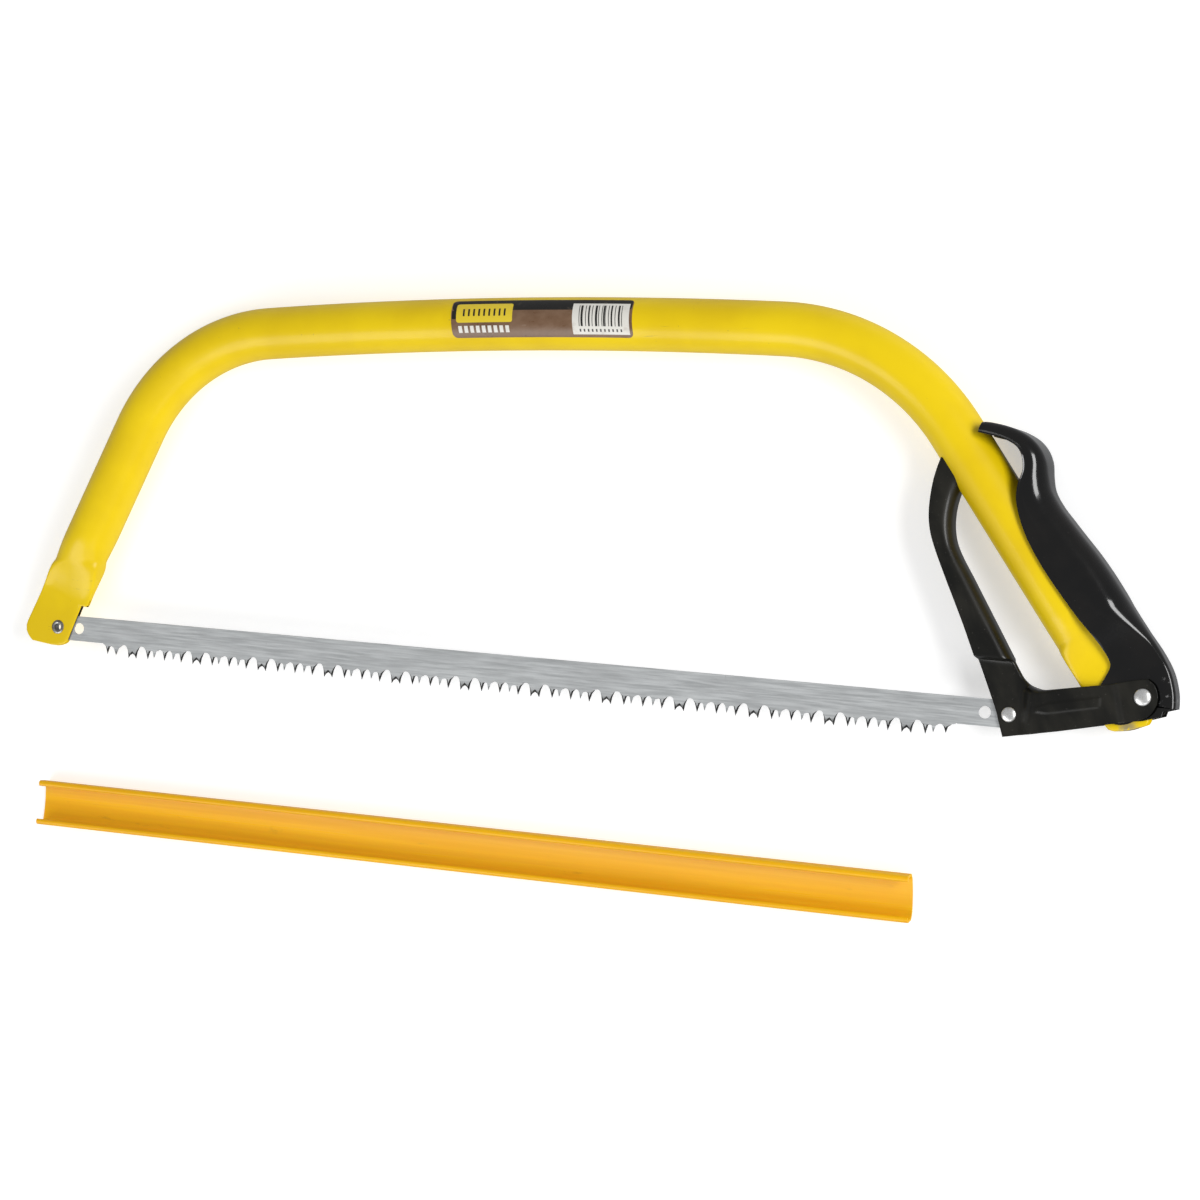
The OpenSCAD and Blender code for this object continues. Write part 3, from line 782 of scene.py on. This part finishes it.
lever_thick, lever_narrow, lever_wide = 1.3, 7.4, 17.2
lever_edges = as_points([
    ((687.3, 10.9), (645.0, 11.2)), ((687.3, 14), (645.6, 17.5)), ((686.5, 20.5), (648.8, 24.4)),
    ((683.4, 30), (651.2, 31.6)), ((677.4, 40), (646.6, 40)), ((669.6, 50), (640.1, 48)),
    ((661.9, 60), (632.7, 56)),
    ((654.6, 70), (625.2, 64.6)), ((647.0, 80), (617.4, 73.9)), ((638.6, 90), (610.6, 82.8)),
    ((629.2, 100), (604.7, 91.8)), ((622.4, 107.4), (600.9, 98.6)), ((616.6, 114), (598, 105.4)),
    ((611.4, 122.0), (595.2, 115)), ((609.3, 129.5), (595.3, 123.6)), ((607.9, 137), (597.3, 131.5)),
    ((604.7, 143.6), (596.4, 138.4)), ((599.4, 149), (593.4, 143.4)), ((592.5, 152.7), (588.4, 146.4)),
    ((585.2, 154.9), (582.5, 148.3)), ((576.4, 156.3), (575, 149.6)), ((572.4, 156.2), (571, 150.4)),
])
lever_radius = [(0, 2.5), (3.5, 2.5), (4.6, 4), (5.4, 8), (6.4, 13.5), (9, 12.5), (11, 12), (12.5, 13),
                (14, 11.5), (16, 8), (18, 6), (21, 4.5)]


def lever_depth(x, y, share=1.0):
    """Half depth of the lever: narrow at the fulcrum, wide over the round tube, cheeks dished."""
    up = (Vector((x, y)) - fulcrum).dot(heel_along)
    dish = 0.42 * sin(pi * min(share * 1.05, 1.0)) ** 2 if up > 40 else 0.0
    return lerp(lever_narrow, lever_wide, eased((up - 14) / 34)) - dish


def folded_sheet(name, rows, back_to, thick, back_steps=3):
    """Both halves of a trough and, up to row back_to, the flat of its back, as one sheet."""
    near_half = [[at(*p) for p in row] for row in rows]
    far_half = [[at(p.x, p.y, -p.z) for p in row] for row in rows]
    full = []
    for row in rows:
        edge = row[-1]
        full.append([at(edge.x, edge.y, edge.z * (1 - 2 * i / back_steps)) for i in range(back_steps + 1)])
    verts, faces = [], []
    for sheet in (near_half, full[:back_to + 1], far_half):
        base = len(verts)
        verts += [p for row in sheet for p in row]
        faces += [tuple(base + v for v in face) for face in grid_faces(len(sheet), len(sheet[0]))]
    piece = meshed(name, verts, faces, 1e-6, open_sheet=True)
    wall = piece.modifiers.new("wall", "SOLIDIFY")
    wall.thickness = thick * MM
    wall.offset = -1
    wall.use_even_offset = True
    wall.thickness_clamp = 1.0
    edge = piece.modifiers.new("edge", "BEVEL")
    edge.width = 0.22 * MM
    edge.segments = 2
    edge.limit_method = "ANGLE"
    edge.angle_limit = radians(55)
    return piece


lever_steps, lever_reach = 6, 0.8
lever_rows = []
for i, (outer, inner) in enumerate(smooth_lines(lever_edges, lever_steps)):
    radius = looked_up(lever_radius, i / lever_steps)
    lever_rows.append(fold_row(outer, inner, lever_depth, radius, 16, 12, lever_reach))
lever = folded_sheet("lever_pressing", lever_rows, len(lever_rows) - 1, lever_thick)
settled(lever, 40)

# the round ears below the back, which turn on the fulcrum pin
ear_r = 13.5
ear_line = [(687.3, 10.9), (681.0, 9.0), (680.3, 6.3), (671.2, 3.3)]
ear_line += [(fulcrum.x + ear_r * cos(radians(a)), fulcrum.y + ear_r * sin(radians(a)))
             for a in range(-55, -189, -7)]
ears = []
for name, low, high in (("lever_ear_near", lever_narrow - lever_thick, lever_narrow),
                        ("lever_ear_far", -lever_narrow, lever_thick - lever_narrow)):
    ears.append(lofted(name, [[at(x, y, z) for x, y in ear_line] for z in (low, high)]))

black_mat, shader, coords = node_setup("black_gloss_paint")
haze = grain(coords, 30, 4)
black = blended(stepped(haze, 0.4, 0.75), (0.002, 0.002, 0.002), (0.006, 0.005, 0.004))
dust = stepped(grain(coords, 700, 3, 0.6), 0.68, 0.78)
black = blended(combined(dust, 0.3), black, (0.10, 0.09, 0.08))
chips = combined(stepped(grain(coords, 240, 5, 0.7), 0.60, 0.64),
                 near(coords, at(686, 14, 7), 4, 22))
black = blended(combined(chips, 0.5), black, (0.25, 0.25, 0.25))
set_shader(shader, {
    "Base Color": black, "Roughness": stepped(haze, 0.3, 0.7, 0.14, 0.24),
    "Specular IOR Level": 0.3, "Coat Weight": 0.5, "Coat Roughness": 0.08,
})
waves = grain(coords, 55, 2)
bumped(shader, waves, 0.25, 0.4)
for part in (lever, *ears):
    painted(part, black_mat)
    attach(part, "lever")
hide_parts("tension_lever")

# ---------------------------------------------------------------- knuckle guard
# One pressing of sheet steel, folded into a narrow trough in front of the fingers, pinched flat on
# the blade's heel and stepped out over the lever. Satin black paint. A rib stiffens each plate.
guard_thick, guard_deep, pinch_deep, step_deep = 1.4, 9.2, 2.1, 10.8
guard_edges = as_points([
    ((564.2, 127.4), (549.6, 136.2)), ((560.8, 120.9), (547.7, 130)), ((558.5, 113.5), (546.1, 122.4)),
    ((557.5, 106.2), (545.2, 113)), ((557.7, 98.6), (545.3, 104)), ((559.5, 90.6), (546.9, 95.2)),
    ((563.4, 82.8), (550.2, 86.4)), ((570.3, 72.2), (556.5, 72.9)), ((579, 58.4), (563.4, 58.9)),
    ((587, 45.8), (569.6, 46.2)), ((595, 33.1), (575.4, 33.4)), ((602, 22.1), (581.4, 20.3)),
    ((605, 18.7), (586, 10)), ((608.6, 16.3), (589.4, 2.3)), ((612.8, 15.0), (591.8, -4.8)),
    ((617.2, 15.1), (594.4, -12.3)), ((621.6, 15.8), (603, -10.6)), ((627.6, 16.8), (612.6, -8.7)),
    ((633.8, 17.9), (622, -6.9)), ((640, 19), (634, -4.3)), ((646.5, 20.1), (644, -2.1)),
    ((653, 21.3), (651.4, -0.5)), ((659, 22.9), (657.6, 0.8)), ((666, 24.6), (663.4, 2.0)),
    ((672.4, 25.6), (668.6, 3.2)), ((675.8, 23.2), (673, 5.0)), ((677.8, 19.6), (676, 7.9)),
    ((678.6, 16), (678.4, 12.6)),
])
corner_rows = (15, 21, 24)
last_back_row = 17
rib_rise = 0.65


def guard_depth(x, y, share=1.0):
    """Half depth of the guard: pinched on the blade, stepped out at the pivot, with the rib raised."""
    lower = lerp(pinch_deep, guard_deep, eased((x - 601.5) / 10.5))
    depth = lerp(lower, guard_deep, eased((y - 28.2) / 1.6))
    depth += (step_deep - guard_deep) * eased((x + 0.25 * (y - 12) - 655) / 5)
    rib_middle = 4.4 + 0.205 * (x - 615)
    rib_half = lerp(1.2, 2.6, eased((x - 612.5) / 8))
    over_rib = eased((rib_half + 0.7 - abs(y - rib_middle)) / 1.1)
    return depth + rib_rise * (over_rib * eased((x - 612) / 3) * eased((648.5 - x) / 1.6))


guard_steps = 8
guard_radius = [(0, 4), (1, 6.5), (12, 6.5), (14, 5), (16, 2.5), (last_back_row, 0.6), (28, 0.6)]
guard_rows = []
for i, (outer, inner) in enumerate(smooth_lines(guard_edges, guard_steps, corner_rows)):
    radius = looked_up(guard_radius, i / guard_steps)
    guard_rows.append(fold_row(outer, inner, guard_depth, radius, 38, 8))
guard = folded_sheet("guard_pressing", guard_rows, last_back_row * guard_steps, guard_thick)
settled(guard, 40)

satin_mat, shader, coords = node_setup("satin_black_paint")
rubbed = grain(coords, (60, 25, 60), 4, turn=30)
satin = blended(stepped(rubbed, 0.35, 0.7), (0.004, 0.004, 0.003), (0.014, 0.013, 0.009))
grit = stepped(grain(coords, 800, 3), 0.66, 0.74)
satin = blended(combined(grit, 0.35), satin, (0.12, 0.11, 0.10))
set_shader(shader, {
    "Base Color": satin, "Roughness": stepped(rubbed, 0.3, 0.7, 0.32, 0.48),
    "Specular IOR Level": 0.25, "Coat Weight": 0.2, "Coat Roughness": 0.12,
})
bumped(shader, grain(coords, 1100, 2), 0.02, 0.4)
painted(guard, satin_mat)
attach(guard, "guard")
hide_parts("knuckle_guard")

# ---------------------------------------------------------------- rivets
# Bright domed steel rivets, set with a snap tool: one through the guard's pinched corner and the
# blade, and one on each side through guard and lever.
rivet_mat, shader, coords = node_setup("bright_rivet")
dents = grain(coords, 500, 3)
bright = blended(stepped(dents, 0.45, 0.75), (0.86, 0.86, 0.85), (0.50, 0.48, 0.45))
dent_rough = stepped(dents, 0.3, 0.7, 0.26, 0.42)
set_shader(shader, {"Base Color": bright, "Metallic": 0.85, "Roughness": dent_rough})
bumped(shader, dents, 0.08, 0.5)
skirt, axis_r, shank_r, shank_foot = 0.35, 0.02, 2.95, 6.0


def domed_head(radius, seat, height):
    """Outline of a snap head from its skirt to its crown, seated at a height."""
    dome = [(radius * cos(a), seat + skirt + (height - skirt) * sin(a))
            for a in (radians(d) for d in range(0, 90, 9))]
    return [(radius - 0.25, seat), (radius, seat + 0.15), *dome, (axis_r, seat + height)]


heel_at = Vector((pin_span, 0))
pivot_at = Vector((670.5, 15.8))
heel_head = domed_head(4.1, pinch_deep, 1.78)
heel_outline = [(axis_r, -pinch_deep - 1.8)] + [(r, -h) for r, h in heel_head[::-1][1:]]
heel_outline += [(shank_r, -pinch_deep), (shank_r, pinch_deep)] + heel_head
heel_rivet = lofted("heel_rivet_set", turned(heel_outline, heel_at))
pivot_outline = [(axis_r, shank_foot), (shank_r, shank_foot), (shank_r, step_deep)]
pivot_outline += domed_head(4.65, step_deep, 2.05)
pivot_near = lofted("pivot_rivet_near_set", turned(pivot_outline, pivot_at))
pivot_far = lofted("pivot_rivet_far_set", turned(pivot_outline, pivot_at, -1))
for part, body, node in ((heel_rivet, "guard", "heel_rivet"), (pivot_near, "lever", "pivot_rivet_near"),
                         (pivot_far, "lever", "pivot_rivet_far")):
    settled(part, 50)
    part.data.materials.append(rivet_mat)
    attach(part, body)
    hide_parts(node)

# ---------------------------------------------------------------- label
# A printed film label with rounded corners, wrapped over the near side of the crown. It carries a
# plain yellow panel with a row of ticks, a row of blank blocks and a white panel of plain bars.
label_length, label_low, label_high = 112.0, -36.0, 56.0
label_heading = crown_slope * 0.443
label_shift, label_skew = 1.7, -0.022


def on_crown(s, around, lift):
    """A point on the crown: s along it from the label's middle, around it in degrees from the top."""
    heading = label_heading - (s + label_shift + label_skew * around) / crown_r
    r = crown_r + (tube_r + lift) * sin(radians(around))
    z = (tube_r + lift) * cos(radians(around))
    return at(crown_centre.x - r * sin(heading), crown_centre.y + r * cos(heading), z)


def thin_film(name, verts, rows, columns):
    """A closed film: its lower grid of points, then its upper one, and a rim between them."""
    count, last = rows * columns, columns - 1
    lower = grid_faces(rows, columns)
    upper = [tuple(count + v for v in face) for face in lower]
    rim = list(range(columns)) + [j * columns + last for j in range(1, rows)]
    rim += [count - columns + i for i in range(last - 1, -1, -1)]
    rim += [j * columns for j in range(rows - 2, 0, -1)]
    sides = [(a, b, b + count, a + count) for a, b in zip(rim, rim[1:] + rim[:1])]
    return meshed(name, verts, lower + upper + sides)


def wrapped_patch(name, left, right, low, high, lift, thick, corner=0.0, steps=24, rises=14):
    """A thin film on the crown, its corners rounded to a radius. low and high are in degrees."""
    per_degree = pi * tube_r / 180

    def inset(around):
        end = min(around - low, high - around) * per_degree
        if end >= corner:
            return 0
        return corner - sqrt(max(corner**2 - (corner - end) ** 2, 0))

    verts = []
    for level in (lift, lift + thick):
        for j in range(rises + 1):
            around = lerp(low, high, eased(j / rises) if corner else j / rises)
            gap = inset(around)
            along = [lerp(left + gap, right - gap, i / steps) for i in range(steps + 1)]
            verts += [on_crown(s, around, level) for s in along]
    piece = thin_film(name, verts, rises + 1, steps + 1)
    piece.data.shade_smooth()
    piece.data.set_sharp_from_angle(angle=radians(40))
    return piece


def printed(name, colour, worn, rough=0.34, amount=0.6):
    """Ink or film of one colour with rubbed patches."""
    mat, shader, coords = node_setup(name)
    rub = stepped(grain(coords, 120, 5, 0.65), 0.55, 0.75)
    shade = blended(combined(rub, amount), colour, worn)
    roughness = stepped(grain(coords, 60, 3), 0.3, 0.7, rough, rough + 0.14)
    set_shader(shader, {"Base Color": shade, "Roughness": roughness})
    bumped(shader, grain(coords, 600, 2), 0.015, 0.4)
    return mat


half = label_length / 2
film_mat, shader, coords = node_setup("label_film")
creased = grain(coords, (60, 90, 90), 5, 0.65, turn=12)
brown = blended(stepped(creased, 0.3, 0.75), (0.155, 0.082, 0.042), (0.225, 0.135, 0.080))
rub_lines = grain(coords, (50, 300, 300), 5, 0.7, turn=8)
rubbed_white = combined(stepped(rub_lines, 0.66, 0.72), 0.5)
brown = blended(rubbed_white, brown, (0.45, 0.38, 0.30))
crease_rough = stepped(creased, 0.3, 0.7, 0.25, 0.4)
set_shader(shader, {"Base Color": brown, "Roughness": crease_rough})
bumped(shader, creased, 0.05, 0.4)

# lifts above the tube, from the film up to the panels
film_lift, film_thick, ink_lift, panel_lift = 0.02, 0.10, 0.125, 0.14
film = wrapped_patch("label_base", -half, half, label_low, label_high, film_lift, film_thick, 3.0, 64, 28)
film.data.materials.append(film_mat)
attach(film, "frame")
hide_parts("frame_label")

ink = printed("label_black_ink", (0.012, 0.011, 0.010), (0.20, 0.15, 0.11), 0.25, 0.55)
yellow_ink = printed("label_yellow_ink", (0.80, 0.60, 0.03), (0.60, 0.40, 0.05))
white_ink = printed("label_white_ink", (0.78, 0.76, 0.70), (0.55, 0.50, 0.44))
patches = [
    wrapped_patch("label_black_band", -half + 0.4, half - 0.5, 25, 55, ink_lift, 0.01, corner=2.4, steps=60),
    wrapped_patch("label_black_edge", -half + 0.5, -half + 3.2, 6, 26, ink_lift, 0.01, steps=4),
]
for patch in patches:
    patch.data.materials.append(ink)
panel = wrapped_patch("label_yellow_panel", -half + 3.2, -half + 38.4, -2, 43, panel_lift, 0.012, corner=1.4)
panel.data.materials.append(yellow_ink)
white_panel = wrapped_patch("label_white_panel", half - 36.5, half - 1.8, -29, 42, panel_lift, 0.012)
white_panel.data.materials.append(white_ink)


def wrapped(piece):
    """Bends a flat drawing onto the crown: its X is along the tube and its Y is degrees around it."""
    for v in piece.data.vertices:
        v.co = on_crown(v.co.x / MM, v.co.y / MM, v.co.z / MM)
    piece.data.update()
    return piece


def bar_block(name, width, low, high, lift=0.18, thick=0.01, steps=8):
    """One flat block of the print, before wrapping."""
    verts = [Vector((x, y, z)) * MM for z in (lift, lift + thick)
             for y in [lerp(low, high, j / steps) for j in range(steps + 1)] for x in (-width / 2, width / 2)]
    return thin_film(name, verts, steps + 1, 2)


def row_of_blocks(name, width, low, high, count, pitch, start, mat):
    """A wrapped row of like blocks on the label."""
    block = bar_block(name + "_block", width, low, high)
    row = repeated(name, block, count, (pitch * MM, 0, 0), (start * MM, 0, 0), mat)
    bpy.data.objects.remove(block)
    return wrapped(row)


prints = [
    row_of_blocks("label_thin_bars", 0.42, -11, 36, 14, 2.0, half - 32.2, ink),
    row_of_blocks("label_wide_bars", 0.95, -11, 36, 6, 4.6, half - 30.8, ink),
    row_of_blocks("label_foot_marks", 0.9, -23, -17, 11, 2.5, half - 31.8, ink),
    row_of_blocks("label_blank_words", 2.3, -24, -9, 9, 3.7, -half + 5.4, white_ink),
    row_of_blocks("label_tooth_marks", 1.1, 12, 29, 9, 3.2, -half + 8.0, ink),
]
for part in (*patches, panel, white_panel, *prints):
    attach(part, "frame")

# ---------------------------------------------------------------- blade cover
# The loose cover: an extruded channel of glossy orange-yellow plastic with two curled lips, which
# clips over the toothed edge. It lies on its back beside the saw, a little twisted.
cover_low, cover_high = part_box("blade_cover")
cover_middle = (cover_low + cover_high) / 2
cover_turn, cover_twist = radians(0.45), radians(13)
cover_len, cover_w, cover_h, cover_t = 557.0, 27.0, 10.5, 1.4
base_r, lip_wander, lip_waves = 60, 0.2, 3.1
w = cover_w / 2


def arc(cx, cy, r, start, end, n):
    """Points of an arc about (cx, cy), from one angle in degrees to the other."""
    angles = [radians(lerp(start, end, i / n)) for i in range(n + 1)]
    return [(cx + r * cos(a), cy + r * sin(a)) for a in angles]


lip_x, lip_y = w - 1.9, cover_h - 2.0
half_out = [(lip_x - 1.5, lip_y + 0.9), *arc(lip_x, lip_y, 1.9, 130, 0, 8), (w, 5.0),
            *arc(w - 2.6, 4.4, 2.6, 0, -70, 6)]
half_in = [*arc(w - 2.8, 4.6, 1.35, -65, 0, 5), (w - cover_t, lip_y - 0.3),
           *arc(lip_x - 0.1, lip_y, 0.55, 0, 130, 5)]
outline = half_out + arc(0, base_r, base_r, -80.5, -99.5, 16) + [(-x, y) for x, y in half_out[::-1]]
outline += [(-x, y) for x, y in half_in[::-1]] + arc(0, base_r, base_r - cover_t, -100.3, -79.7, 16) + half_in
cover_rows = []
cover_steps = 60
for j in range(cover_steps + 1):
    x = cover_len * (j / cover_steps - 0.5)
    bow = lip_wander * (sin(lip_waves * pi * j / cover_steps) - 1)
    roll = Matrix.Rotation(cover_twist * j / cover_steps, 3, "X")
    row = [roll @ Vector((0, y, z + bow * (z / cover_h) * abs(y) / w)) for y, z in outline]
    lowest = min(p.z for p in row)
    cover_rows.append([(p + Vector((x, 0, -lowest))) * MM for p in row])
cover = lofted("cover_channel", cover_rows)
lying = Vector((cover_middle.x, cover_middle.y, cover_low.z))
cover.data.transform(Matrix.Translation(lying) @ Matrix.Rotation(cover_turn, 4, "Z"))
settled(cover, 50)

plastic_mat, shader, coords = node_setup("orange_cover_plastic")
streaks = grain(coords, (5, 260, 260), 4)
orange = blended(stepped(streaks, 0.3, 0.7), (0.92, 0.50, 0.004), (0.84, 0.42, 0.002))
grime = stepped(grain(coords, (30, 120, 120), 5, 0.7), 0.62, 0.75)
orange = blended(combined(grime, 0.35), orange, (0.45, 0.20, 0.01))
set_shader(shader, {
    "Base Color": orange, "Roughness": stepped(streaks, 0.3, 0.7, 0.26, 0.38), "Specular IOR Level": 0.3,
    "Subsurface Weight": 0.12, "Subsurface Radius": (0.003, 0.0012, 0.0003),
})
bumped(shader, streaks, 0.06, 0.5)
painted(cover, plastic_mat)
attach(cover, "cover")
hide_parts("blade_cover")
